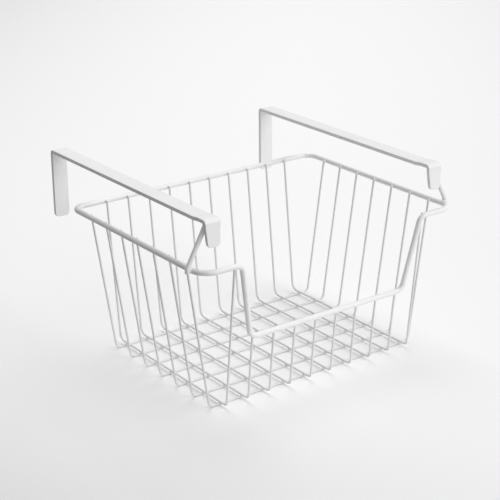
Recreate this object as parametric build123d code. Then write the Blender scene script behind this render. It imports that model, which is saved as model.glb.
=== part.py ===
from build123d import *
from math import atan2, cos
import os

# An under shelf basket: a basket of thin wires welded inside a thick rim wire, hung from two flat
# straps that lie on top of a shelf. All lengths are in millimetres. While it is being modelled, the
# rim's centre in plan is x = 0 and y = 0, the front is towards -Y, and the floor is z = 0.

# The rim: one thick wire bent into a rectangle, whose front side dips so that a hand can reach in.
rim_wire = 6.0             # its diameter
rim_width = 330.0          # between the centres of its two sides
rim_depth = 250.0          # between the centres of its front and its back
rim_height = 164.0         # from the floor to the centre of its wire
rim_back_radius = 14.0     # of the wire's centre line at the two back corners
rim_front_radius = 18.0    # and at the two front corners
dip_height = 79.5          # from the floor to the centre of the dip's bar
dip_margin = 5.75          # in plan, between a corner of the dip and the basket wire beside it
dip_top_radius = 9.0
dip_bar_radius = 10.0

# The basket wires: thin wires bent into wide U shapes, one set from front to back and one across.
basket_wire = 2.4          # their diameter
side_lean = 23.8           # how far each side wall leans in, from the rim down to the floor
front_lean = 17.3          # and the front and the back wall
front_back_count = 10
front_back_margin = 13.25  # from the corner of the floor to the first front to back wire
cross_count = 7
cross_margin = 12.3        # from the corner of the floor to the first cross wire
front_bend = 4.6           # radius of their centre lines where the floor turns into the front wall
back_bend = 8.5            # and into the back wall
side_bend = 6.5            # and into the side walls
wire_end_rise = 1.2        # how far their ends reach above the centre of the wire they are welded to
weld_gap = 0.05            # left open between two wires where they are welded

# The hanger straps: flat bars with a long leg behind the shelf and a short lip before it.
strap_width = 18.0
strap_thickness = 4.0
strap_edge = 0.5           # rounding of the bar's long edges
strap_bend = 0.7           # radius inside the bar's bends, at the top of the leg and of the lip
strap_end_radius = 5.0     # rounding of the corners of its two ends
strap_length = 305.0       # from the front of the bend at the lip to the back of the leg
strap_inset = 20.0         # from the centre of the rim's side to the centre of the strap
strap_setback = 9.0        # from the centre of the rim's front to the front of the strap
shelf_space = 42.5         # between the top of the rim and the underside of the strap
leg_drop = 79.5            # from the strap's top down to the end of the leg
lip_drop = 27.4            # and down to the end of the lip
lip_taper = 1.9            # how much narrower the lip's end is than the strap, on each side
lip_straight = 9.0         # the lip's upright part, below the strap's top
lip_flare = 1.6            # how far the lip's end stands out before its upright part
lip_bend = 12.0            # radius of the bar's centre line where the lip turns outwards
nose_rise = 1.0            # the strap's front end is kicked up a little, to clear the weld below it
nose_length = 14.0         # its raised part, from the front of the strap
nose_ramp = 7.0            # and the slope that leads up to it
nose_bend = 12.0           # radius of the bar's centre line where the slope starts and ends

# The link rods: short thick wires from below the noses of the straps to the outer sides of the rim.
link_wire = 5.0            # their diameter
link_offset = 3.7          # from the centre of the strap outwards to the centre of the rod's head
link_setback = 8.4         # from the front of the strap to the centre of the rod
link_head = 4.0            # the rod's upright part below the strap
link_foot_rise = 2.5       # its upright part above the centre of the rim's wire
link_foot_drop = 2.2       # and below it
link_bend = 6.0            # radius of its centre line in its two bends

overrun = 1.0              # how far a cut passes the surface that it cuts

# Heights and places worked out from these sizes.
rim_half_width = rim_width / 2
rim_half_depth = rim_depth / 2
cross_height = basket_wire / 2
front_back_height = cross_height + basket_wire + weld_gap
side_angle = atan2(side_lean, rim_height - cross_height)
front_angle = atan2(front_lean, rim_height - front_back_height)
rim_to_wire = rim_wire / 2 + basket_wire / 2 + weld_gap
side_wall_x = rim_half_width - rim_to_wire / cos(side_angle)
front_wall_y = rim_half_depth - rim_to_wire / cos(front_angle)
floor_half_width = side_wall_x - side_lean
floor_half_depth = front_wall_y - front_lean

strap_x = rim_half_width - strap_inset
strap_underside = rim_height + rim_wire / 2 + shelf_space
strap_top = strap_underside + strap_thickness
strap_front = -rim_half_depth + strap_setback
strap_back = strap_front + strap_length
strap_middle = (strap_front + strap_back) / 2
leg_end = strap_top - leg_drop
lip_end = strap_top - lip_drop

# The origin of the finished part is under the middle of its length and of its width.
front_face = max(rim_half_depth + rim_wire / 2, lip_flare - strap_front)
origin_shift = Location((0, (front_face - strap_back) / 2, 0))


def spread(count, half_span):
    """Return the places of evenly spaced wires, from one side of the floor to the other."""
    pitch = 2 * half_span / (count - 1)
    return [-half_span + number * pitch for number in range(count)]


def bent_wire(points, radii, diameter):
    """Return a round wire whose centre line runs straight from point to point, with bent corners."""
    centre_line = FilletPolyline(*points, radius=radii)
    section = Plane(origin=centre_line @ 0, z_dir=centre_line % 0) * Circle(diameter / 2)
    return sweep(section, path=centre_line)


def above(foot, lean, run, rise):
    """Return how far out a leaning wall has come at a height above its foot."""
    return foot + lean * rise / run


front_back_places = spread(front_back_count, floor_half_width - front_back_margin)
cross_places = spread(cross_count, floor_half_depth - cross_margin)
front_back_run = rim_height - front_back_height
cross_run = rim_height - cross_height


def front_wire_y(height):
    """Return how far the front wall's wires stand from the middle at a height."""
    return above(floor_half_depth, front_lean, front_back_run, height - front_back_height)


def rim():
    """Return the rim as one closed loop, made as a right half and its mirror image."""
    wall_offset = rim_to_wire / cos(front_angle)
    dip_y = front_wire_y(dip_height) + wall_offset
    dip_top = front_back_places[-1] - dip_margin
    dip_bar = front_back_places[-2] + dip_margin
    right_half = bent_wire(
        [
            (0, rim_half_depth, rim_height),
            (rim_half_width, rim_half_depth, rim_height),
            (rim_half_width, -rim_half_depth, rim_height),
            (dip_top, -rim_half_depth, rim_height),
            (dip_bar, -dip_y, dip_height),
            (0, -dip_y, dip_height),
        ],
        [rim_back_radius, rim_front_radius, dip_top_radius, dip_bar_radius],
        rim_wire,
    )
    return right_half + mirror(right_half, about=Plane.YZ)


def front_back_wire(number):
    """Return a front to back wire. The outer two end at the rim, and the others below the dip's bar."""
    x = front_back_places[number]
    is_outer = number in (0, front_back_count - 1)
    front_end = (rim_height if is_outer else dip_height) + wire_end_rise
    back_end = rim_height + wire_end_rise
    return bent_wire(
        [
            (x, -front_wire_y(front_end), front_end),
            (x, -floor_half_depth, front_back_height),
            (x, floor_half_depth, front_back_height),
            (x, front_wire_y(back_end), back_end),
        ],
        [front_bend, back_bend],
        basket_wire,
    )


def cross_wire(number):
    """Return a cross wire, which runs below the front to back wires and up both side walls."""
    y = cross_places[number]
    end = rim_height + wire_end_rise
    end_x = above(floor_half_width, side_lean, cross_run, end - cross_height)
    return bent_wire(
        [
            (-end_x, y, end),
            (-floor_half_width, y, cross_height),
            (floor_half_width, y, cross_height),
            (end_x, y, end),
        ],
        [side_bend, side_bend],
        basket_wire,
    )


def end_cut(end, taper, cut_top, direction):
    """Return what is cut off around the lower end of a leg or a lip, to give it its outline."""
    half = strap_width / 2
    outline = Polygon(
        (-half, strap_underside),
        (half, strap_underside),
        (half - taper, end),
        (taper - half, end),
        align=None,
    )
    outline = fillet(outline.vertices().group_by(Axis.Y)[0], strap_end_radius)
    blank = Polygon(
        (-half - overrun, cut_top),
        (half + overrun, cut_top),
        (half + overrun, end - 2 * overrun),
        (-half - overrun, end - 2 * overrun),
        align=None,
    )
    plane = Plane(origin=(0, strap_middle, 0), x_dir=(1, 0, 0), z_dir=(0, -1, 0))
    return extrude(plane * (blank - outline), amount=strap_length, dir=(0, direction, 0))


def hanger_strap(side):
    """Return a flat strap: leg, top, raised nose and lip, swept along the middle of its thickness."""
    half = strap_thickness / 2
    top_line = strap_top - half
    nose_line = top_line + nose_rise
    back_line = strap_back - half
    front_line = strap_front + half
    bend = strap_bend + half
    lip_turn = Vector(0, front_line, strap_top - lip_straight)
    lip_foot = Vector(0, front_line - lip_flare, lip_end)
    centre_line = FilletPolyline(
        (0, back_line, leg_end - overrun),
        (0, back_line, top_line),
        (0, strap_front + nose_length + nose_ramp, top_line),
        (0, strap_front + nose_length, nose_line),
        (0, front_line, nose_line),
        lip_turn,
        lip_foot + (lip_foot - lip_turn).normalized() * overrun,
        radius=[bend, nose_bend, nose_bend, bend, lip_bend],
    )
    section = Plane(origin=centre_line @ 0, x_dir=(1, 0, 0), z_dir=centre_line % 0)
    strap = sweep(section * RectangleRounded(strap_width, strap_thickness, strap_edge), path=centre_line)
    strap -= end_cut(leg_end, 0, leg_end + strap_end_radius, 1)
    strap -= end_cut(lip_end, lip_taper, strap_underside, -1)
    return Location((side * strap_x, 0, 0)) * strap


def link_rod(side):
    """Return a rod from below the strap's nose, splayed outwards to the outer side of the rim."""
    y = strap_front + link_setback
    head_x = side * (strap_x + link_offset)
    foot_x = side * (rim_half_width + rim_wire / 2 + link_wire / 2 + weld_gap)
    head_top = strap_underside + nose_rise - weld_gap
    return bent_wire(
        [
            (head_x, y, head_top),
            (head_x, y, head_top - link_head),
            (foot_x, y, rim_height + link_foot_rise),
            (foot_x, y, rim_height - link_foot_drop),
        ],
        [link_bend, link_bend],
        link_wire,
    )


def write(node, shape):
    """Move a piece to the part's own origin and write it to its file."""
    piece = origin_shift * shape
    piece.label = node
    export_step(piece, f"parts/{node}.step")


os.makedirs("parts", exist_ok=True)
write("rim_wire", rim())
for number in range(front_back_count):
    write(f"front_back_wire_{number + 1:02d}", front_back_wire(number))
for number in range(cross_count):
    write(f"cross_wire_{number + 1:02d}", cross_wire(number))
for name, side in (("left", -1), ("right", 1)):
    write(f"{name}_hanger_strap", hanger_strap(side))
    write(f"{name}_link_rod", link_rod(side))
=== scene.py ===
# %% [markdown]
# # An under shelf basket in white powder coat
#
# The real basket is a cage of thin steel wires, spot welded inside a thicker rim wire. It hangs from
# two flat steel straps that lie on top of a shelf. The welded frame is sprayed with white powder, which
# is then baked to a smooth satin skin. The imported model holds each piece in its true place, so this
# lesson adds what a maker sees from close by: rounded wire ends, beads of weld, the skin of the coat,
# and a studio.

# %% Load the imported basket
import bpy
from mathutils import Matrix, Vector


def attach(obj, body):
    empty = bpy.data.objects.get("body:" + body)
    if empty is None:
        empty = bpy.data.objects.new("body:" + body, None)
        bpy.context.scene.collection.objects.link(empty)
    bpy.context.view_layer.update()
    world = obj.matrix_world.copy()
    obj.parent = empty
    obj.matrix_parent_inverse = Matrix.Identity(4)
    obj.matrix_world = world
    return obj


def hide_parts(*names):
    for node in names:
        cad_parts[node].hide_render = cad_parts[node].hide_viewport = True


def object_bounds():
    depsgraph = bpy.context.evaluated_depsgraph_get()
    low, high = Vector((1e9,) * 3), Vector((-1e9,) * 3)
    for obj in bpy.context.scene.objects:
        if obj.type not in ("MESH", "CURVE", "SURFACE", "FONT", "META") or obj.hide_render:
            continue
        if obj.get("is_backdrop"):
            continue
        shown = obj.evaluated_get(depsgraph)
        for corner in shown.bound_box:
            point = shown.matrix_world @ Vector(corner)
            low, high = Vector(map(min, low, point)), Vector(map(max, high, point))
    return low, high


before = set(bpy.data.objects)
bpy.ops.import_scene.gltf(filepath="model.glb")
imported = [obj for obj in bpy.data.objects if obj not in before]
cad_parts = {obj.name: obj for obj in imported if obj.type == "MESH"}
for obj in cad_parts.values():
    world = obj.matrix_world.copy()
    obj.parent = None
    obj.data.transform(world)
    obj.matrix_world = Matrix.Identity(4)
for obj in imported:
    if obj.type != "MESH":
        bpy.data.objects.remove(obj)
cad_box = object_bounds()

# %% Tools for numbers and meshes
import math
import random

import bmesh
import bpy
import numpy as np
from mathutils import Matrix, Vector

MM = 0.001  # all sizes below are in millimetres, and Blender works in metres
print("packed size in mm:", [round(size / MM, 1) for size in cad_box[1] - cad_box[0]])

# %% [markdown]
# ## The camera
#
# The photograph was taken from the front left and from above, with a long lens, so that lines that are
# parallel in the basket stay nearly parallel in the picture. A camera can be aimed with a constraint,
# but here its three angles are known, so the rotation is built from its own right, up and forward
# directions.

# %% The camera
PHOTO_PIXELS = 500
FOCAL_PIXELS = 1390.25
SENSOR_WIDTH = 36
CAMERA_PLACE = Vector((-855.23, -1177.45, 659.10)) * MM
CAMERA_HEADING = math.radians(36.163)  # to the right of the basket's own front to back direction
CAMERA_TILT = math.radians(-20.835)
CAMERA_ROLL = math.radians(-0.480)


def camera_axes(heading, tilt, roll):
    """Return the camera's right, up and forward directions."""
    level_forward = Vector((math.sin(heading), math.cos(heading), 0))
    forward = level_forward * math.cos(tilt) + Vector((0, 0, math.sin(tilt)))
    level_right = forward.cross(Vector((0, 0, 1))).normalized()
    level_up = level_right.cross(forward)
    right = math.cos(roll) * level_right + math.sin(roll) * level_up
    up = math.cos(roll) * level_up - math.sin(roll) * level_right
    return right, up, forward


right, up, forward = camera_axes(CAMERA_HEADING, CAMERA_TILT, CAMERA_ROLL)
camera_data = bpy.data.cameras.new("camera")
camera_data.sensor_width = SENSOR_WIDTH
camera_data.lens = SENSOR_WIDTH * FOCAL_PIXELS / PHOTO_PIXELS
camera_data.dof.use_dof = False
camera = bpy.data.objects.new("camera", camera_data)
camera_turn = Matrix((right, up, -forward)).transposed().to_4x4()
camera.matrix_world = Matrix.Translation(CAMERA_PLACE) @ camera_turn
bpy.context.scene.collection.objects.link(camera)
bpy.context.scene.camera = camera
bpy.context.scene.view_settings.view_transform = "Standard"
print("lens in mm:", round(camera_data.lens, 1))

# %% [markdown]
# ## The studio
#
# White goods are photographed on a white sheet that runs on behind them. One soft box hangs above and a
# little behind, one stands high in front on the right, and a weak one stands low in front. Nothing
# stands on the left, so one side of each wire is bright and the other grey, which is what draws a white
# wire on a white ground. Suns with wide discs do this evenly over any distance, and a dim sky fills the
# shadows.

# %% Helpers for node trees
def new_node(tree, kind, place, inputs=None, **settings):
    """Add a node of a kind to a tree, with its settings and its input values, and return it."""
    node = tree.nodes.new(kind)
    node.location = place
    for name, value in settings.items():
        setattr(node, name, value)
    for name, value in (inputs or {}).items():
        node.inputs[name].default_value = value
    return node


def ramp(tree, place, start, end, at_start, at_end, shape="LINEAR"):
    """Add a Map Range node, from one value to another while its input goes from start to end."""
    inputs = {"From Min": start, "From Max": end, "To Min": at_start, "To Max": at_end}
    return new_node(tree, "ShaderNodeMapRange", place, inputs, interpolation_type=shape)


def seen_directly(tree, place):
    """Return a socket that is 1 for what the camera sees, also in gloss and through glass, and else 0."""
    path = new_node(tree, "ShaderNodeLightPath", place)
    either = new_node(tree, "ShaderNodeMath", (place[0] + 180, place[1]), operation="MAXIMUM")
    any_of_three = new_node(tree, "ShaderNodeMath", (place[0] + 360, place[1]), operation="MAXIMUM")
    tree.links.new(path.outputs["Is Camera Ray"], either.inputs[0])
    tree.links.new(path.outputs["Is Glossy Ray"], either.inputs[1])
    tree.links.new(either.outputs[0], any_of_three.inputs[0])
    tree.links.new(path.outputs["Is Transmission Ray"], any_of_three.inputs[1])
    return any_of_three.outputs[0]


print("node helpers are ready")

# %% The world
SKY_STRENGTH = 0.36
SKY_COLOUR = (1, 1, 1, 1)
SEEN_SKY_COLOUR = (0.90, 0.90, 0.90, 1)
world = bpy.data.worlds.new("studio")
bpy.context.scene.world = world
world.use_nodes = True
tree = world.node_tree
tree.nodes.clear()
sky = {"Color": SKY_COLOUR, "Strength": SKY_STRENGTH}
dim_sky = new_node(tree, "ShaderNodeBackground", (0, 100), sky)
seen_sky = new_node(tree, "ShaderNodeBackground", (0, -100), {"Color": SEEN_SKY_COLOUR})
sky_mix = new_node(tree, "ShaderNodeMixShader", (200, 0))
sky_out = new_node(tree, "ShaderNodeOutputWorld", (400, 0))
tree.links.new(seen_directly(tree, (-600, 0)), sky_mix.inputs[0])
tree.links.new(dim_sky.outputs[0], sky_mix.inputs[1])
tree.links.new(seen_sky.outputs[0], sky_mix.inputs[2])
tree.links.new(sky_mix.outputs[0], sky_out.inputs["Surface"])
print("sky strength:", SKY_STRENGTH)


# %% The lamps
def sun(name, towards, strength, disc_degrees):
    """Add a sun that shines from a direction. The wider its disc is, the softer are its shadows."""
    lamp = bpy.data.lights.new(name, "SUN")
    lamp.energy = strength
    lamp.angle = math.radians(disc_degrees)
    holder = bpy.data.objects.new(name, lamp)
    holder.rotation_mode = "QUATERNION"
    holder.rotation_quaternion = Vector(towards).to_track_quat("Z", "Y")
    bpy.context.scene.collection.objects.link(holder)
    return holder


back_lamp = sun("back_softbox", towards=(0.24, 0.42, 0.87), strength=1.05, disc_degrees=36)
right_lamp = sun("right_softbox", towards=(0.53, -0.63, 0.57), strength=1.55, disc_degrees=55)
low_lamp = sun("low_softbox", towards=(-0.26, -0.96, 0.14), strength=0.55, disc_degrees=60)
print("lamps:", back_lamp.name, right_lamp.name, low_lamp.name)

# %% [markdown]
# ## The white sheet
#
# A white sheet also lights what stands on it from below. Here the light that it throws up is painted
# dark on the left, a painted shade that stands in for a black card, so what faces left stays grey. Close
# to the sheet this painted shade is left out, or the undersides of the lowest wires would turn black. What
# the camera sees of the sheet is a colour of its own, with painted light: a long pool of light lies across
# it, and one corner is in painted shade. Such a pool could be lit with a spot lamp, but that would light
# the basket too, so the pool and the dim corner are painted.

# %% The floor
FLOOR_SIZE = 12000
half = FLOOR_SIZE / 2 * MM
corners = [(-half, -half, 0), (half, -half, 0), (half, half, 0), (-half, half, 0)]
floor_mesh = bpy.data.meshes.new("floor")
floor_mesh.from_pydata(corners, [], [(0, 1, 2, 3)])
floor = bpy.data.objects.new("floor", floor_mesh)
bpy.context.scene.collection.objects.link(floor)
floor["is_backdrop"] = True
print("floor:", FLOOR_SIZE, "mm square")

# %% What the camera sees of the sheet
# the pool of light and the dim corner are painted light and painted shade on the sheet
PAPER_WHITE = 0.977
PAPER_DARKEST = 0.72
POOL_MIDDLE = (679, 797)
POOL_HALF_SIZES = (3182, 13113)  # where the pool's light has gone, across it and along it
POOL_TURN = math.radians(-41.5)
DIM_PLACE = (-958, -479)
DIM_REACH = 1149
DIM_SHARE = 0.500


def seen_paper(tree, where):
    """Return a socket with the sheet's painted light: bright in the pool, and painted shade in the dim
    corner.
    """
    link = tree.links.new
    pool_place = {
        "Location": (POOL_MIDDLE[0] * MM, POOL_MIDDLE[1] * MM, 0),
        "Rotation": (0, 0, POOL_TURN),
        "Scale": (POOL_HALF_SIZES[0] * MM, POOL_HALF_SIZES[1] * MM, 1),
    }
    in_pool = new_node(tree, "ShaderNodeMapping", (-1400, 100), pool_place, vector_type="TEXTURE")
    from_pool = new_node(tree, "ShaderNodeVectorMath", (-1200, 100), operation="LENGTH")
    pool = ramp(tree, (-1000, 100), 0, 1, PAPER_WHITE, 0, "SMOOTHSTEP")
    dim_middle = {1: (DIM_PLACE[0] * MM, DIM_PLACE[1] * MM, 0)}
    from_dim = new_node(tree, "ShaderNodeVectorMath", (-1200, -150), dim_middle, operation="DISTANCE")
    dim = ramp(tree, (-1000, -150), 0, DIM_REACH * MM, DIM_SHARE, 0, "SMOOTHSTEP")
    dimmed = new_node(tree, "ShaderNodeMath", (-800, 0), operation="SUBTRACT")
    shade = new_node(tree, "ShaderNodeMath", (-600, 0), {1: PAPER_DARKEST}, operation="MAXIMUM")
    link(where, in_pool.inputs["Vector"])
    link(in_pool.outputs[0], from_pool.inputs[0])
    link(from_pool.outputs["Value"], pool.inputs["Value"])
    link(where, from_dim.inputs[0])
    link(from_dim.outputs["Value"], dim.inputs["Value"])
    link(pool.outputs["Result"], dimmed.inputs[0])
    link(dim.outputs["Result"], dimmed.inputs[1])
    link(dimmed.outputs[0], shade.inputs[0])
    return shade.outputs[0]


print("paper:", PAPER_WHITE, "at its brightest")

# %% What the sheet throws back
PAINTED_SHADE_EDGES = (-300, -180)  # where the painted shade on the left starts to fade, and where it has gone
THROWN_BACK = 0.97         # the share of light that the sheet throws up on the right of the painted shade
NEAR_RAYS = (15, 60)       # up to the first length a ray doesn't meet the painted shade, from the second it does
NEAR_BOUNCE = 0.93         # the shade that such a short ray meets


def thrown_back(tree, where):
    """Return a socket with the sheet's colour for light that it throws up, painted dark on the left as
    shade.
    """
    link = tree.links.new
    across = new_node(tree, "ShaderNodeSeparateXYZ", (-1200, -650))
    shade_starts, shade_gone = (edge * MM for edge in PAINTED_SHADE_EDGES)
    beside_painted_shade = ramp(tree, (-1000, -650), shade_starts, shade_gone, 0, THROWN_BACK, "SMOOTHSTEP")
    ray = new_node(tree, "ShaderNodeLightPath", (-1000, -950))
    shortest, longest = (reach * MM for reach in NEAR_RAYS)
    near = ramp(tree, (-800, -950), shortest, longest, 1, 0, "SMOOTHSTEP")
    to_basket = new_node(tree, "ShaderNodeMix", (-500, -700), data_type="FLOAT")
    to_basket.inputs["B"].default_value = NEAR_BOUNCE
    link(where, across.inputs[0])
    link(across.outputs["X"], beside_painted_shade.inputs["Value"])
    link(ray.outputs["Ray Length"], near.inputs["Value"])
    link(near.outputs["Result"], to_basket.inputs["Factor"])
    link(beside_painted_shade.outputs["Result"], to_basket.inputs["A"])
    return to_basket.outputs["Result"]


# the card is painted shade in the light that the sheet throws up
print("the card ends between", PAINTED_SHADE_EDGES[0], "and", PAINTED_SHADE_EDGES[1], "mm")

# %% The floor's paper
PAPER_ROUGHNESS = 0.9
paper = bpy.data.materials.new("floor paper")
paper.use_nodes = True
tree = paper.node_tree
shader = tree.nodes["Principled BSDF"]
shader.inputs["Roughness"].default_value = PAPER_ROUGHNESS
shader.inputs["Specular IOR Level"].default_value = 0
where = new_node(tree, "ShaderNodeTexCoord", (-1600, 0)).outputs["Object"]
shade = new_node(tree, "ShaderNodeMix", (-200, 0), data_type="RGBA")
tree.links.new(seen_directly(tree, (-900, -400)), shade.inputs["Factor"])
tree.links.new(thrown_back(tree, where), shade.inputs["A"])
tree.links.new(seen_paper(tree, where), shade.inputs["B"])
tree.links.new(shade.outputs["Result"], shader.inputs["Base Color"])
floor_mesh.materials.append(paper)
print("the paper has", len(tree.nodes), "nodes")

# %% [markdown]
# ## The powder coat
#
# Powder that melts in the oven flows into a skin about 0.1 mm thick. It never lies quite flat: it keeps
# gentle swells about a millimetre wide, which makers call orange peel, and a finer grain in them. Its
# tone drifts a little where the spray was thicker, and on a sharp edge it draws back and turns greyer.
# All the pieces share this, so it is one group of nodes that is built once, and each material sets its
# own amounts. The swells are too small to be worth any mesh, so they go into a bump.

# %% The height and the gloss of the coat
SWELL_DETAIL = 1.5
GRAIN = {"Scale": 5200, "Detail": 3}
GRAIN_SHARE = 0.12
NOISE_SPAN = (0.3, 0.7)      # a noise node seldom leaves this span
GLOSS_DRIFT = (-0.04, 0.04)  # what the swells add to the roughness


def coat_height(group, where, asked):
    """Return two sockets: the swells, and the swells with the finer grain on them."""
    link = group.links.new
    swells = new_node(group, "ShaderNodeTexNoise", (-700, -300), {"Detail": SWELL_DETAIL})
    grain = new_node(group, "ShaderNodeTexNoise", (-700, -550), GRAIN)
    fine = new_node(group, "ShaderNodeMath", (-450, -550), {1: GRAIN_SHARE}, operation="MULTIPLY")
    height = new_node(group, "ShaderNodeMath", (-200, -400), operation="ADD")
    link(where, swells.inputs["Vector"])
    link(asked.outputs["Peel Scale"], swells.inputs["Scale"])
    link(where, grain.inputs["Vector"])
    link(grain.outputs[0], fine.inputs[0])
    link(swells.outputs[0], height.inputs[0])
    link(fine.outputs[0], height.inputs[1])
    return swells.outputs[0], height.outputs[0]


def coat_roughness(group, swells, asked):
    """Return a socket with the coat's roughness, which drifts with its swells."""
    dull = ramp(group, (-200, -100), *NOISE_SPAN, *GLOSS_DRIFT)
    satin = new_node(group, "ShaderNodeMath", (50, -100), operation="ADD")
    group.links.new(swells, dull.inputs["Value"])
    group.links.new(dull.outputs[0], satin.inputs[0])
    group.links.new(asked.outputs["Satin"], satin.inputs[1])
    return satin.outputs[0]


print("roughness drifts by", GLOSS_DRIFT)

# %% The colour of the coat
TONE = {"Scale": 26, "Detail": 4}
TONE_DRIFT = (0.975, 1.015)


def coat_colour(group, where, asked):
    """Return a socket with the coat's colour, which drifts a little and is greyer on an edge."""
    link = group.links.new
    drift = new_node(group, "ShaderNodeTexNoise", (-700, 250), TONE)
    tone = ramp(group, (-450, 250), *NOISE_SPAN, *TONE_DRIFT)
    thinned = new_node(group, "ShaderNodeMix", (-450, 0), data_type="RGBA")
    toned = new_node(group, "ShaderNodeVectorMath", (-200, 100), operation="SCALE")
    link(where, drift.inputs["Vector"])
    link(drift.outputs[0], tone.inputs["Value"])
    link(asked.outputs["Edge"], thinned.inputs["Factor"])
    link(asked.outputs["Coat Colour"], thinned.inputs["A"])
    link(asked.outputs["Edge Colour"], thinned.inputs["B"])
    link(thinned.outputs["Result"], toned.inputs[0])
    link(tone.outputs[0], toned.inputs["Scale"])
    return toned.outputs[0]


print("tone drifts by", TONE_DRIFT)

# %% The powder coat group
ASKED = {"Coat Colour": "Color", "Edge Colour": "Color", "Edge": "Float", "Peel Scale": "Float",
         "Satin": "Float"}
GIVEN = {"Colour": "Color", "Roughness": "Float", "Height": "Float"}


def powder_coat_group():
    """Return a node group that gives the colour, roughness and height of a coat of baked powder."""
    group = bpy.data.node_groups.new("powder coat", "ShaderNodeTree")
    for direction, sockets in (("INPUT", ASKED), ("OUTPUT", GIVEN)):
        for name, kind in sockets.items():
            group.interface.new_socket(name, in_out=direction, socket_type="NodeSocket" + kind)
    asked = new_node(group, "NodeGroupInput", (-1100, 0))
    given = new_node(group, "NodeGroupOutput", (700, 0))
    where = new_node(group, "ShaderNodeTexCoord", (-1100, -300)).outputs["Object"]
    swells, height = coat_height(group, where, asked)
    group.links.new(coat_colour(group, where, asked), given.inputs["Colour"])
    group.links.new(coat_roughness(group, swells, asked), given.inputs["Roughness"])
    group.links.new(height, given.inputs["Height"])
    return group


POWDER = powder_coat_group()
print("group:", POWDER.name, "with", len(POWDER.nodes), "nodes")

# %% [markdown]
# ## Four finishes from one coat
#
# On thick and on thin wire the powder pulls itself smooth, on the flat bar its swells spread wider and
# its edges thin out, and over a weld it lies on rough metal and looks duller. The thin wire's white is
# painted a little greyer, a painted shade that makes the thin wires darker than the lamps alone would. The
# shader stays in each material, and the group gives it what changes over the surface. Values that don't
# change are set on the shader itself.

# %% The four finishes
PAINT_IOR = 1.5
SKIN_WEIGHT = 0.15     # the clear skin that rises to the top of the melted powder
SKIN_ROUGHNESS = 0.25
BUMP_STRENGTH = 0.6


def powder_material(name, coat, peel_scale, satin, peel_depth):
    """Return a material of white powder coat, with its own colour, swells and gloss."""
    material = bpy.data.materials.new(name)
    material.use_nodes = True
    tree = material.node_tree
    shader = tree.nodes["Principled BSDF"]
    shader.inputs["IOR"].default_value = PAINT_IOR
    shader.inputs["Coat Weight"].default_value = SKIN_WEIGHT
    shader.inputs["Coat Roughness"].default_value = SKIN_ROUGHNESS
    powder = new_node(tree, "ShaderNodeGroup", (-500, 0), node_tree=POWDER)
    amounts = {"Coat Colour": coat, "Edge Colour": EDGE_WHITE, "Peel Scale": peel_scale, "Satin": satin}
    for socket, amount in amounts.items():
        powder.inputs[socket].default_value = amount
    edge_mask = new_node(tree, "ShaderNodeAttribute", (-750, 0), attribute_name="bar_edge")
    depth = {"Strength": BUMP_STRENGTH, "Distance": peel_depth * MM}
    bump = new_node(tree, "ShaderNodeBump", (-200, -250), depth)
    tree.links.new(edge_mask.outputs["Fac"], powder.inputs["Edge"])
    tree.links.new(powder.outputs["Colour"], shader.inputs["Base Color"])
    tree.links.new(powder.outputs["Roughness"], shader.inputs["Roughness"])
    tree.links.new(powder.outputs["Height"], bump.inputs["Height"])
    tree.links.new(bump.outputs["Normal"], shader.inputs["Normal"])
    return material


WHITE = (0.82, 0.82, 0.818, 1)
EDGE_WHITE = (0.78, 0.78, 0.778, 1)
# painted shade: the thin wires' white is lowered so that they stand darker than the lamps alone make them
THIN_SHADED_WHITE = (0.728, 0.733, 0.732, 1)
WELD_WHITE = (0.76, 0.76, 0.755, 1)
WIRE_COAT = powder_material("white powder coat on thick wire", WHITE,
                            peel_scale=900, satin=0.40, peel_depth=0.02)
THIN_SHADED_COAT = powder_material("white powder coat on thin wire with painted shade", THIN_SHADED_WHITE,
                            peel_scale=900, satin=0.42, peel_depth=0.02)
BAR_COAT = powder_material("white powder coat on flat bar", WHITE,
                           peel_scale=650, satin=0.42, peel_depth=0.03)
WELD_COAT = powder_material("white powder coat over welds", WELD_WHITE,
                            peel_scale=1500, satin=0.48, peel_depth=0.04)
print("finishes:", WIRE_COAT.name, THIN_SHADED_COAT.name, BAR_COAT.name, WELD_COAT.name, sep="\n  ")

# %% [markdown]
# ## Wire, bent and cut
#
# Each wire is round steel, bent over a pin and cut to length. In Blender that is a curve with a round
# bevel: straight runs joined by arcs. The shears leave a sharp rim on the cut end, and the coat rounds
# it off, so the last points of the curve draw in as a quarter circle. The curve becomes a mesh at the
# end, because a mesh shows its cut face flat and its side smooth.

# %% A bent line
BEND_STEP = math.radians(5)


def bent_line(corners, radii):
    """Return points along straight runs from corner to corner, with a round bend at each inner corner."""
    corners = [np.array(corner, float) for corner in corners]
    line = [corners[0]]
    for before, corner, after, radius in zip(corners, corners[1:], corners[2:], radii):
        into = (corner - before) / np.linalg.norm(corner - before)
        out = (after - corner) / np.linalg.norm(after - corner)
        turn = math.acos(np.clip(into @ out, -1, 1))
        start = corner - into * radius * math.tan(turn / 2)
        to_centre = (out - into * math.cos(turn)) / math.sin(turn)
        steps = max(2, math.ceil(turn / BEND_STEP))
        for step in range(steps + 1):
            angle = turn * step / steps
            across = to_centre * (1 - math.cos(angle))
            line.append(start + radius * (into * math.sin(angle) + across))
    line.append(corners[-1])
    return np.array(line)


corner_demo = bent_line([(0, 0, 0), (50, 0, 0), (50, 50, 0)], [9])
print("a right angle bend has", len(corner_demo), "points")

# %% The rounding of a cut end
ROUNDING_SHARE = 0.45  # how much of a wire's radius the coat rounds off at a cut end
ROUNDING_ANGLES = np.radians([90, 70, 50, 30, 10, 0])


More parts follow.
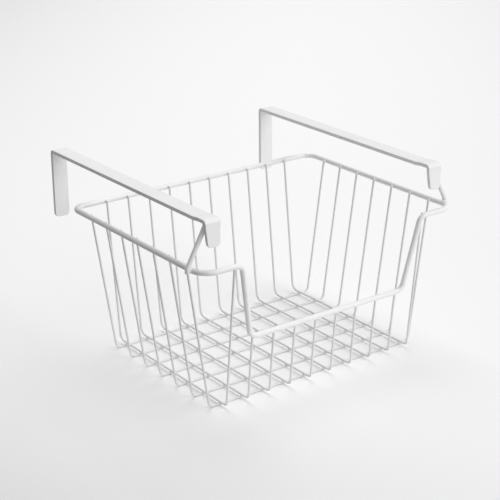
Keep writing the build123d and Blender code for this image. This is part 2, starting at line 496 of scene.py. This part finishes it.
def with_rounded_ends(line, diameter):
    """Return the line with close points at both ends, and the thickness share at each of its points."""
    radius = diameter / 2
    rounding = radius * ROUNDING_SHARE
    draw_in = rounding * (1 - np.sin(ROUNDING_ANGLES))
    shares = (radius - rounding + rounding * np.sqrt(1 - (1 - draw_in / rounding) ** 2)) / radius
    start_run = (line[1] - line[0]) / np.linalg.norm(line[1] - line[0])
    end_run = (line[-2] - line[-1]) / np.linalg.norm(line[-2] - line[-1])
    start = [line[0] + start_run * depth for depth in draw_in]
    end = [line[-1] + end_run * depth for depth in draw_in]
    points = start + list(line[1:-1]) + end[::-1]
    thickness = list(shares) + [1.0] * (len(line) - 2) + list(shares[::-1])
    return points, thickness


print("a cut end has", len(ROUNDING_ANGLES), "rings")


# %% From a line to a piece of wire
def add_piece(name, mesh, material, node=None):
    """Put a mesh into the scene as a piece of the basket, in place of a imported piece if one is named."""
    piece = bpy.data.objects.new(name, mesh)
    mesh.materials.clear()
    mesh.materials.append(material)
    bpy.context.scene.collection.objects.link(piece)
    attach(piece, "root")
    if node:
        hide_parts(node)
    return piece


ROUNDNESS = 10  # the higher, the more faces go round a wire


def wire_piece(node, line, diameter, coat, closed=False):
    """Make one piece of round wire along a line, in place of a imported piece."""
    curve = bpy.data.curves.new(node, "CURVE")
    curve.dimensions = "3D"
    curve.bevel_depth = diameter / 2 * MM
    curve.bevel_resolution = ROUNDNESS
    curve.use_fill_caps = not closed
    points, thickness = (line, [1.0] * len(line)) if closed else with_rounded_ends(line, diameter)
    spline = curve.splines.new("POLY")
    spline.use_cyclic_u = closed
    spline.points.add(len(points) - 1)
    for point, place, share in zip(spline.points, points, thickness):
        point.co = (*[size * MM for size in place], 1)
        point.radius = share
    holder = bpy.data.objects.new(node, curve)
    mesh = bpy.data.meshes.new_from_object(holder)
    bpy.data.objects.remove(holder)
    bpy.data.curves.remove(curve)
    for face in mesh.polygons:
        face.use_smooth = len(face.vertices) == 4
    mesh.name = "coated_" + node
    return add_piece("coated_" + node, mesh, coat, node)


print("wire tools are ready")

# %% [markdown]
# ## The rim
#
# The rim is one 6 mm wire, butt welded into a closed loop. Its front dips to a low bar, so that a hand
# can reach in. It is the first piece to be drawn, because all the others are set against it. The sizes
# are the maker's own, in millimetres from the middle of the rim, and one shift takes them to the
# basket's origin.

# %% The sizes of the rim and the basket wires
RIM_WIRE = 6.0
RIM_HALF_WIDTH = 165.0
RIM_HALF_DEPTH = 125.0
RIM_HEIGHT = 164.0           # from the ground to the middle of its wire
RIM_BENDS = [14, 18, 9, 10]  # at the back, at the front, and at the dip's top and bar
DIP_HEIGHT = 79.5
DIP_MARGIN = 5.75            # between a corner of the dip and the basket wire beside it
BASKET_WIRE = 2.4
WELD_GAP = 0.05              # left open between two wires, where the bead of weld goes
SIDE_LEAN = 23.8             # how far a side wall leans in, from the rim down to the floor
FRONT_LEAN = 17.3            # and the front and the back wall
FRONT_BACK_COUNT = 10
FRONT_BACK_MARGIN = 13.25    # from the edge of the floor to the first of these wires
CROSS_COUNT = 7
CROSS_MARGIN = 12.3
CROSS_HEIGHT = BASKET_WIRE / 2
FRONT_BACK_HEIGHT = CROSS_HEIGHT + BASKET_WIRE + WELD_GAP
SIDE_ANGLE = math.atan2(SIDE_LEAN, RIM_HEIGHT - CROSS_HEIGHT)
FRONT_ANGLE = math.atan2(FRONT_LEAN, RIM_HEIGHT - FRONT_BACK_HEIGHT)
RIM_TO_WIRE = RIM_WIRE / 2 + BASKET_WIRE / 2 + WELD_GAP
FLOOR_HALF_WIDTH = RIM_HALF_WIDTH - RIM_TO_WIRE / math.cos(SIDE_ANGLE) - SIDE_LEAN
FLOOR_HALF_DEPTH = RIM_HALF_DEPTH - RIM_TO_WIRE / math.cos(FRONT_ANGLE) - FRONT_LEAN
FRONT_BACK_PLACES = np.linspace(-1, 1, FRONT_BACK_COUNT) * (FLOOR_HALF_WIDTH - FRONT_BACK_MARGIN)
CROSS_PLACES = np.linspace(-1, 1, CROSS_COUNT) * (FLOOR_HALF_DEPTH - CROSS_MARGIN)
print("floor of the basket in mm:", round(2 * FLOOR_HALF_WIDTH, 1), "by", round(2 * FLOOR_HALF_DEPTH, 1))

# %% Where the straps stand
STRAP_INSET = 20.0   # from the middle of the rim's side to the middle of the strap
STRAP_SETBACK = 9.0  # from the middle of the rim's front to the front of the strap
STRAP_LENGTH = 305.0
STRAP_THICKNESS = 4.0
SHELF_SPACE = 42.5   # from the top of the rim to the underside of the strap
STRAP_X = RIM_HALF_WIDTH - STRAP_INSET
STRAP_UNDERSIDE = RIM_HEIGHT + RIM_WIRE / 2 + SHELF_SPACE
STRAP_TOP = STRAP_UNDERSIDE + STRAP_THICKNESS
STRAP_FRONT = -RIM_HALF_DEPTH + STRAP_SETBACK
STRAP_BACK = STRAP_FRONT + STRAP_LENGTH
TO_ORIGIN = np.array((0, (RIM_HALF_DEPTH + RIM_WIRE / 2 - STRAP_BACK) / 2, 0))
print("the straps lie at", STRAP_UNDERSIDE, "mm, from", STRAP_FRONT, "to", STRAP_BACK)


# %% The rim wire
def wall_y(height):
    """Return how far the wires of the front and back walls stand from the middle at a height."""
    rise = (height - FRONT_BACK_HEIGHT) / (RIM_HEIGHT - FRONT_BACK_HEIGHT)
    return FLOOR_HALF_DEPTH + FRONT_LEAN * rise


DIP_Y = -wall_y(DIP_HEIGHT) - RIM_TO_WIRE / math.cos(FRONT_ANGLE)
DIP_TOP_X = FRONT_BACK_PLACES[-1] - DIP_MARGIN
DIP_BAR_X = FRONT_BACK_PLACES[-2] + DIP_MARGIN
right_corners = [
    (0, RIM_HALF_DEPTH, RIM_HEIGHT),
    (RIM_HALF_WIDTH, RIM_HALF_DEPTH, RIM_HEIGHT),
    (RIM_HALF_WIDTH, -RIM_HALF_DEPTH, RIM_HEIGHT),
    (DIP_TOP_X, -RIM_HALF_DEPTH, RIM_HEIGHT),
    (DIP_BAR_X, DIP_Y, DIP_HEIGHT),
    (0, DIP_Y, DIP_HEIGHT),
]
right_half = bent_line(right_corners, RIM_BENDS)
left_half = right_half[::-1][1:-1] * (-1, 1, 1)
RIM_LINE = np.vstack((right_half, left_half)) + TO_ORIGIN
rim = wire_piece("rim_wire", RIM_LINE, RIM_WIRE, WIRE_COAT, closed=True)
print("rim:", len(rim.data.vertices), "points")

# %% [markdown]
# ## The basket wires
#
# Ten wires run from front to back and seven run across below them. Each is a wide U, whose ends stand
# just above the middle of the rim, on its inner side. One function per set is enough, because only the
# place changes, except that the wires between the two outer ones stop at the low front bar.

# %% The front to back wires
WIRE_RISE = 1.2
FRONT_BEND = 4.6
BACK_BEND = 8.5


def front_back_line(number):
    """Return the line of one front to back wire."""
    x = FRONT_BACK_PLACES[number]
    is_outer = number in (0, FRONT_BACK_COUNT - 1)
    front_end = (RIM_HEIGHT if is_outer else DIP_HEIGHT) + WIRE_RISE
    back_end = RIM_HEIGHT + WIRE_RISE
    corners = [(x, -wall_y(front_end), front_end), (x, -FLOOR_HALF_DEPTH, FRONT_BACK_HEIGHT),
               (x, FLOOR_HALF_DEPTH, FRONT_BACK_HEIGHT), (x, wall_y(back_end), back_end)]
    return bent_line(corners, [FRONT_BEND, BACK_BEND]) + TO_ORIGIN


FRONT_BACK_LINES = [front_back_line(number) for number in range(FRONT_BACK_COUNT)]
for number, line in enumerate(FRONT_BACK_LINES, 1):
    wire_piece(f"front_back_wire_{number:02d}", line, BASKET_WIRE, THIN_SHADED_COAT)
print("front to back wires:", len(FRONT_BACK_LINES))

# %% The cross wires
SIDE_BEND = 6.5


def cross_line(number):
    """Return the line of one cross wire."""
    y = CROSS_PLACES[number]
    end = RIM_HEIGHT + WIRE_RISE
    end_x = FLOOR_HALF_WIDTH + SIDE_LEAN * (end - CROSS_HEIGHT) / (RIM_HEIGHT - CROSS_HEIGHT)
    corners = [(-end_x, y, end), (-FLOOR_HALF_WIDTH, y, CROSS_HEIGHT),
               (FLOOR_HALF_WIDTH, y, CROSS_HEIGHT), (end_x, y, end)]
    return bent_line(corners, [SIDE_BEND, SIDE_BEND]) + TO_ORIGIN


CROSS_LINES = [cross_line(number) for number in range(CROSS_COUNT)]
for number, line in enumerate(CROSS_LINES, 1):
    wire_piece(f"cross_wire_{number:02d}", line, BASKET_WIRE, THIN_SHADED_COAT)
print("cross wires:", len(CROSS_LINES))

# %% [markdown]
# ## The hanger straps
#
# A strap is flat bar, 18 by 4 mm, with soft edges. Its long leg keeps the bar's width, its short lip
# tapers, and both end in rounded corners. It could be a plank with a bevel and a bend, but a bevel is
# hard to keep even through a bend. So it is built as a row of sections: at each place along the bent
# line the bar's outline is laid square to the line, as wide as the bar is there. A mask marks the edges,
# where the coat is thin.

# %% The width of the bar
STRAP_HALF_WIDTH = 9.0
STRAP_CORNER = 5.0
LIP_LENGTH = 23.4
LIP_TAPER = 1.9


def half_width(from_end, taper):
    """Return half the bar's width at a distance from an end that tapers to rounded corners."""
    slope = taper / LIP_LENGTH
    end_half = STRAP_HALF_WIDTH - taper
    if from_end < STRAP_CORNER * (1 - slope / math.hypot(1, slope)):
        centre = end_half + STRAP_CORNER * (slope - math.hypot(1, slope))
        return centre + math.sqrt(STRAP_CORNER ** 2 - (STRAP_CORNER - from_end) ** 2)
    return min(STRAP_HALF_WIDTH, end_half + slope * from_end)


lip_widths = [round(half_width(distance, LIP_TAPER), 2) for distance in (0, 5, 20)]
print("half width at 0, 5 and 20 mm from the lip's end:", lip_widths)

# %% The bar's outline
STRAP_EDGE = 0.5
EDGE_STEPS = 5
EDGE_BORDER_MASK = 0.4               # where a rounded edge meets a flat side
FLAT_SHARES = (1, 0.5, 0, -0.5, -1)  # where the points on a flat side lie, as shares of its half


def bar_section(half_across, half_thickness):
    """Return the bar's outline as (across, up) points, and a mask that is 1 on its rounded edges."""
    flat = half_across - STRAP_EDGE
    stand = half_thickness - STRAP_EDGE
    points, mask = [], []
    for side_x, side_z, first in ((1, 1, 0), (-1, 1, 90), (-1, -1, 180), (1, -1, 270)):
        for step in range(EDGE_STEPS):
            angle = math.radians(first + 90 * step / (EDGE_STEPS - 1))
            points.append((side_x * flat + STRAP_EDGE * math.cos(angle),
                           side_z * stand + STRAP_EDGE * math.sin(angle)))
            mask.append(1.0 if 0 < step < EDGE_STEPS - 1 else EDGE_BORDER_MASK)
        if side_x == side_z:
            inner = flat - STRAP_EDGE
            for share in FLAT_SHARES:
                points.append((side_x * inner * share, side_z * half_thickness))
                mask.append(0.0)
    return points, mask


print("points round the bar:", len(bar_section(STRAP_HALF_WIDTH, STRAP_THICKNESS / 2)[0]))

# %% Where the sections stand
SECTION_PITCH = 8.0
END_PLACES = np.array((0, 0.05, 0.15, 0.3, 0.5, 0.7, 0.95, 1.3, 1.8, 2.4, 3.1, 3.9, 4.7, 5.6))
PLACE_DECIMALS = 4


def section_places(along):
    """Return where sections stand along a line: at its points, close at its ends, and in long runs."""
    length = along[-1]
    between = np.arange(SECTION_PITCH, length, SECTION_PITCH)
    places = np.concatenate((along, END_PLACES, length - END_PLACES, between))
    places = np.unique(np.round(places, PLACE_DECIMALS))
    return places[(places >= 0) & (places <= length)]


def headings_along(line, runs):
    """Return the line's heading at each of its points, where long runs count for more than short ones."""
    turned = np.unwrap(np.arctan2(np.diff(line[:, 2]), np.diff(line[:, 1])))
    weights = runs ** 2
    inner = (turned[1:] * weights[1:] + turned[:-1] * weights[:-1]) / (weights[1:] + weights[:-1])
    return np.concatenate((turned[:1], inner, turned[-1:]))


print("sections are", SECTION_PITCH, "mm apart")


# %% Lay the outline along a line
def strap_sections(line, x):
    """Return the points of the bar's sections along a line from leg to lip, their mask, and their count."""
    runs = np.linalg.norm(np.diff(line, axis=0), axis=1)
    along = np.concatenate(([0], np.cumsum(runs)))
    length = along[-1]
    places = section_places(along)
    headings = headings_along(line, runs)
    vertices, mask = [], []
    for place in places:
        half_across = min(half_width(place, 0), half_width(length - place, LIP_TAPER))
        in_edge = max(0, STRAP_EDGE - min(place, length - place))
        half_thickness = STRAP_THICKNESS / 2 - STRAP_EDGE + math.sqrt(STRAP_EDGE ** 2 - in_edge ** 2)
        heading = np.interp(place, along, headings)
        centre = [np.interp(place, along, line[:, axis]) for axis in range(3)]
        outline, edge = bar_section(half_across, half_thickness)
        for (across, rise), marked in zip(outline, edge):
            vertices.append(((x + across) * MM, (centre[1] - rise * math.sin(heading)) * MM,
                             (centre[2] + rise * math.cos(heading)) * MM))
            mask.append(1.0 if in_edge else marked)
    return vertices, mask, len(places)


def strap_mesh(name, line, x):
    """Return the mesh of a flat bar that follows a line in the plane of Y and Z, from leg to lip."""
    vertices, mask, count = strap_sections(line, x)
    around = len(vertices) // count
    faces = [tuple(range(around))[::-1], tuple(range(len(vertices) - around, len(vertices)))]
    for section in range(count - 1):
        base = section * around
        for step in range(around):
            after = (step + 1) % around
            faces.append((base + step, base + after, base + around + after, base + around + step))
    mesh = bpy.data.meshes.new(name)
    mesh.from_pydata(vertices, [], faces)
    mesh.attributes.new("bar_edge", "FLOAT", "POINT").data.foreach_set("value", mask)
    for face in mesh.polygons:
        face.use_smooth = len(face.vertices) == 4
    return mesh


print("strap tools are ready")

# %% The two straps
HALF_BAR = STRAP_THICKNESS / 2
INSIDE_BEND = 0.7
STRAP_BEND = INSIDE_BEND + HALF_BAR
LEG_DROP = 79.5   # from the strap's top down to the end of the leg
NOSE_RISE = 1.0   # how much the strap's front end is kicked up
NOSE_LENGTH = 14
NOSE_RAMP = 7     # the slope that leads up to it
NOSE_BEND = 12
LIP_STRAIGHT = 9  # the lip's upright part, below the strap's top
LIP_FLARE = 1.6   # how far the lip's end stands out before it
LIP_BEND = 12
LIP_DROP = STRAP_THICKNESS + LIP_LENGTH
TOP_LINE = STRAP_TOP - HALF_BAR
strap_corners = [
    (0, STRAP_BACK - HALF_BAR, STRAP_TOP - LEG_DROP),
    (0, STRAP_BACK - HALF_BAR, TOP_LINE),
    (0, STRAP_FRONT + NOSE_LENGTH + NOSE_RAMP, TOP_LINE),
    (0, STRAP_FRONT + NOSE_LENGTH, TOP_LINE + NOSE_RISE),
    (0, STRAP_FRONT + HALF_BAR, TOP_LINE + NOSE_RISE),
    (0, STRAP_FRONT + HALF_BAR, STRAP_TOP - LIP_STRAIGHT),
    (0, STRAP_FRONT + HALF_BAR - LIP_FLARE, STRAP_TOP - LIP_DROP),
]
strap_bends = [STRAP_BEND, NOSE_BEND, NOSE_BEND, STRAP_BEND, LIP_BEND]
STRAP_LINE = bent_line(strap_corners, strap_bends) + TO_ORIGIN
for name, side in (("left", -1), ("right", 1)):
    node = name + "_hanger_strap"
    mesh = strap_mesh("coated_" + node, STRAP_LINE, side * STRAP_X)
    strap = add_piece("coated_" + node, mesh, BAR_COAT, node)
    print(strap.name, len(strap.data.vertices), "points")

# %% [markdown]
# ## The link rods
#
# A short 5 mm rod carries each side of the rim from the nose of its strap, which is kicked up a little
# to leave room for the weld. The rod splays outwards, and ends upright against the outer side of the
# rim. It is bent wire like the others, so the same function makes it.

# %% The two link rods
ROD_WIRE = 5.0
ROD_BEND = 6
ROD_SETBACK = 8.4    # from the front of the strap
ROD_OFFSET = 3.7     # outwards from the middle of the strap
ROD_HEAD = 4         # the upright part below the strap
ROD_FOOT_RISE = 2.5  # the upright part above the middle of the rim's wire
ROD_FOOT_DROP = 2.2  # and below it
ROD_Y = STRAP_FRONT + ROD_SETBACK
ROD_HEAD_X = STRAP_X + ROD_OFFSET
ROD_FOOT_X = RIM_HALF_WIDTH + RIM_WIRE / 2 + ROD_WIRE / 2 + WELD_GAP
ROD_TOP = STRAP_UNDERSIDE + NOSE_RISE - WELD_GAP
ROD_LINES = []
for name, side in (("left", -1), ("right", 1)):
    corners = [
        (side * ROD_HEAD_X, ROD_Y, ROD_TOP),
        (side * ROD_HEAD_X, ROD_Y, ROD_TOP - ROD_HEAD),
        (side * ROD_FOOT_X, ROD_Y, RIM_HEIGHT + ROD_FOOT_RISE),
        (side * ROD_FOOT_X, ROD_Y, RIM_HEIGHT - ROD_FOOT_DROP),
    ]
    ROD_LINES.append(bent_line(corners, [ROD_BEND, ROD_BEND]) + TO_ORIGIN)
    wire_piece(name + "_link_rod", ROD_LINES[-1], ROD_WIRE, WIRE_COAT)
print("link rods:", len(ROD_LINES))

# %% [markdown]
# ## The welds
#
# Where two wires cross, a pulse of current melts them together, and the coat then runs into the groove.
# The result is a small saddle of metal and paint. Modelling each by hand would take days, and a plain
# ball looks like a blob of glue. So each bead is worked out: a ball of points is cast out from the
# touching point, and each point stops where a blend of the two wires' surfaces ends. Away from the
# groove that blend lies just below the wires, and in the groove it swells out as a fillet. Beads differ
# a little in size, from a seeded dice, as real ones do.

# %% How far a point is from a wire
def nearby_runs(line, place, reach):
    """Return the starts and the runs of those straight bits of a line that pass near a place."""
    starts, runs = line[:-1], np.diff(line, axis=0)
    share = np.clip(((place - starts) * runs).sum(1) / (runs ** 2).sum(1), 0, 1)
    close = np.linalg.norm(starts + share[:, None] * runs - place, axis=1) < reach
    return starts[close], runs[close]


def outside_wire(points, starts, runs, diameter):
    """Return how far each point is outside a round wire, less than zero within it."""
    share = ((points[:, None] - starts) * runs).sum(2) / (runs ** 2).sum(1)
    nearest = starts + np.clip(share, 0, 1)[..., None] * runs
    return np.linalg.norm(points[:, None] - nearest, axis=2).min(1) - diameter / 2


def blended(first, second, softness):
    """Return the smooth smaller one of two distances, which fills the groove between two shapes."""
    overlap = np.maximum(softness - np.abs(first - second), 0) / softness
    return np.minimum(first, second) - overlap ** 2 * softness / 4


print("a point 1 mm off both wires counts as", blended(1, 1, softness=2), "mm off")

# %% A ball of points
BALL_DETAIL = 4
ball = bmesh.new()
bmesh.ops.create_icosphere(ball, subdivisions=BALL_DETAIL, radius=1)
DIRECTIONS = np.array([vertex.co[:] for vertex in ball.verts])
BALL_FACES = [[vertex.index for vertex in face.verts] for face in ball.faces]
ball.free()
print("a bead has", len(DIRECTIONS), "points")

# %% One bead
HIDDEN_DEPTH = 0.03          # how far below the wires a bead lies away from its groove
HALVINGS = 22                # each one halves the doubt about where a point ends
FILLET_SPREAD = (0.9, 1.15)  # how much narrower or wider than usual a fillet may be
DICE_SEED = 11
dice = random.Random(DICE_SEED)


def bead(place, shapes, reach, softness):
    """Return the points of one weld bead round a place where two shapes touch."""
    softness *= dice.uniform(*FILLET_SPREAD)
    low, high = np.zeros(len(DIRECTIONS)), np.full(len(DIRECTIONS), reach)
    for _ in range(HALVINGS):
        middle = (low + high) / 2
        points = place + DIRECTIONS * middle[:, None]
        inside = blended(shapes[0](points), shapes[1](points), softness) + HIDDEN_DEPTH < 0
        low, high = np.where(inside, middle, low), np.where(inside, high, middle)
    return place + DIRECTIONS * low[:, None]


def wire_shape(line, diameter, place, reach):
    """Return a function that tells how far points are outside a wire, measured near one place."""
    drawn_in = line.copy()
    for end, beside in ((0, 1), (-1, -2)):
        run = line[beside] - line[end]
        drawn_in[end] = line[end] + run / np.linalg.norm(run) * diameter / 2
    starts, runs = nearby_runs(drawn_in, place, reach + diameter)
    return lambda points: outside_wire(points, starts, runs, diameter)


def bead_piece(name, beads):
    """Join beads into one piece."""
    vertices = np.vstack(beads) * MM
    faces = [[index + number * len(DIRECTIONS) for index in face]
             for number in range(len(beads)) for face in BALL_FACES]
    mesh = bpy.data.meshes.new(name)
    mesh.from_pydata(vertices.tolist(), [], faces)
    mesh.shade_smooth()
    return add_piece(name, mesh, WELD_COAT)


print("fillets vary in width by", FILLET_SPREAD)

# %% The welds of the floor
THIN_REACH = 2.6
THIN_SOFTNESS = 1.5
floor_beads = []
for front_back, x in zip(FRONT_BACK_LINES, FRONT_BACK_PLACES):
    for cross, y in zip(CROSS_LINES, CROSS_PLACES):
        place = np.array((x, y, BASKET_WIRE + WELD_GAP / 2)) + TO_ORIGIN
        shapes = [wire_shape(line, BASKET_WIRE, place, THIN_REACH) for line in (front_back, cross)]
        floor_beads.append(bead(place, shapes, THIN_REACH, THIN_SOFTNESS))
bead_piece("floor_welds", floor_beads)
print("welds in the floor:", len(floor_beads))

# %% The welds of the rim
RIM_REACH = 3.6
RIM_SOFTNESS = 1.8
TO_SURFACE = RIM_WIRE / 2 + WELD_GAP / 2
RIM_LOOP = np.vstack((RIM_LINE[-2:], RIM_LINE, RIM_LINE[:2]))


def rim_bead(line, rim_place, inwards, lean):
    """Return the bead where a basket wire ends on the inner side of the rim."""
    towards = np.array((*(np.array(inwards) * math.cos(lean)), math.sin(lean)))
    place = np.array(rim_place) + towards * TO_SURFACE + TO_ORIGIN
    rim_shape = wire_shape(RIM_LOOP, RIM_WIRE, place, RIM_REACH)
    end_shape = wire_shape(line, BASKET_WIRE, place, RIM_REACH)
    return bead(place, (rim_shape, end_shape), RIM_REACH, RIM_SOFTNESS)


rim_beads = []
for number, (line, x) in enumerate(zip(FRONT_BACK_LINES, FRONT_BACK_PLACES)):
    is_outer = number in (0, FRONT_BACK_COUNT - 1)
    front = (x, -RIM_HALF_DEPTH, RIM_HEIGHT) if is_outer else (x, DIP_Y, DIP_HEIGHT)
    rim_beads.append(rim_bead(line, front, (0, 1), FRONT_ANGLE))
    rim_beads.append(rim_bead(line, (x, RIM_HALF_DEPTH, RIM_HEIGHT), (0, -1), FRONT_ANGLE))
for line, y in zip(CROSS_LINES, CROSS_PLACES):
    for side in (-1, 1):
        rim_place = (side * RIM_HALF_WIDTH, y, RIM_HEIGHT)
        rim_beads.append(rim_bead(line, rim_place, (-side, 0), SIDE_ANGLE))
bead_piece("rim_welds", rim_beads)
print("welds on the rim:", len(rim_beads))

# %% The welds of the link rods
ROD_REACH = 5.5
ROD_SOFTNESS = 3.0


def nose_shape(x):
    """Return a function that tells how far points are outside the flat nose of a strap."""
    centre = np.array((x, ROD_Y, TOP_LINE + NOSE_RISE)) + TO_ORIGIN
    half_sizes = np.array((STRAP_HALF_WIDTH, ROD_Y - STRAP_FRONT, HALF_BAR)) - STRAP_EDGE

    def outside_nose(points):
        over = np.abs(points - centre) - half_sizes
        return np.linalg.norm(np.maximum(over, 0), axis=1) + np.minimum(over.max(1), 0) - STRAP_EDGE

    return outside_nose


rod_beads = []
for side, line in zip((-1, 1), ROD_LINES):
    foot = np.array((side * (RIM_HALF_WIDTH + TO_SURFACE), ROD_Y, RIM_HEIGHT)) + TO_ORIGIN
    head = np.array((side * ROD_HEAD_X, ROD_Y, ROD_TOP)) + TO_ORIGIN
    for place, shape in ((foot, wire_shape(RIM_LOOP, RIM_WIRE, foot, ROD_REACH)),
                         (head, nose_shape(side * STRAP_X))):
        rod_shape = wire_shape(line, ROD_WIRE, place, ROD_REACH)
        rod_beads.append(bead(place, (shape, rod_shape), ROD_REACH, ROD_SOFTNESS))
bead_piece("link_rod_welds", rod_beads)
print("welds on the link rods:", len(rod_beads))

# %% [markdown]
# ## Measure
#
# The dressed basket has to stay as large as the imported one, so both boxes are printed.

# %% Measure and finish
seen_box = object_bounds()
for label, box in (("packed", cad_box), ("dressed", seen_box)):
    print(label, [[round(value / MM, 2) for value in corner] for corner in box])
